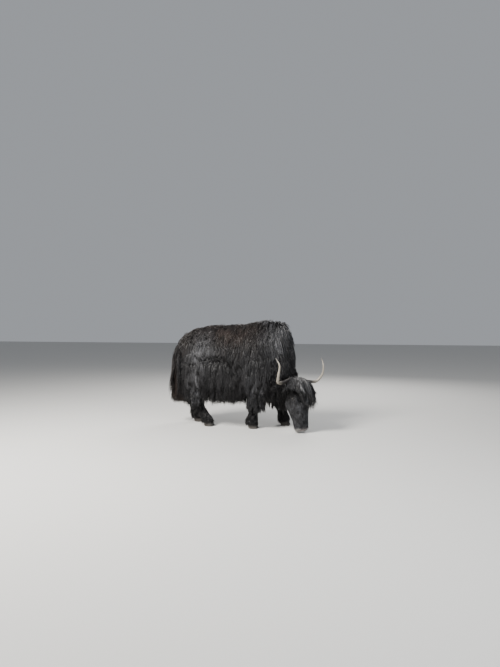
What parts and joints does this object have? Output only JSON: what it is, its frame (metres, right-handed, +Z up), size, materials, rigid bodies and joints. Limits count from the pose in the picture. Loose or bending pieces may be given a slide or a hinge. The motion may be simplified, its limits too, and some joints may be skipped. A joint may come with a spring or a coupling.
{
  "type": "yak",
  "caption": "Life-size still model of a long-haired black domestic yak standing and grazing, head turned to its right and muzzle just above the floor.",
  "frame": {"origin": "on the floor, under the middle of the whole model's box", "axes": "+Z up; the animal faces -Y and its left side is +X"},
  "size_m": [0.8076, 1.9408, 1.299],
  "materials": {
    "black_coat": "long shaggy black hair with a grey sheen",
    "brown_black_coat": "long shaggy black hair, weathered brown along the back and the tail",
    "horn": "keratin, grey-ivory with darker tips, satin, ringed near the base",
    "hoof": "dark keratin, dull and dusty",
    "eye": "dark brown, wet gloss"
  },
  "bodies": {
    "root": {"fore_right_shoulder": "black_coat", "fore_right_claw_a": "hoof", "fore_right_dewclaw_a": "hoof", "fore_right_claw_b": "hoof", "fore_right_dewclaw_b": "hoof", "fore_right_shank": "black_coat", "fore_left_shoulder": "black_coat", "fore_left_claw_a": "hoof", "fore_left_dewclaw_a": "hoof", "fore_left_claw_b": "hoof", "fore_left_dewclaw_b": "hoof", "fore_left_shank": "black_coat", "hind_right_thigh": "black_coat", "hind_right_claw_a": "hoof", "hind_right_dewclaw_a": "hoof", "hind_right_claw_b": "hoof", "hind_right_dewclaw_b": "hoof", "hind_right_shank": "black_coat", "hind_left_thigh": "black_coat", "hind_left_claw_a": "hoof", "hind_left_dewclaw_a": "hoof", "hind_left_claw_b": "hoof", "hind_left_dewclaw_b": "hoof", "hind_left_shank": "black_coat", "trunk": "brown_black_coat", "tail_dock": "brown_black_coat", "tail_switch": "brown_black_coat", "horn_left": "horn", "eye_left": "eye", "ear_left": "black_coat", "horn_right": "horn", "eye_right": "eye", "ear_right": "black_coat", "neck": "black_coat", "head": "black_coat"}
  },
  "joints": []
}
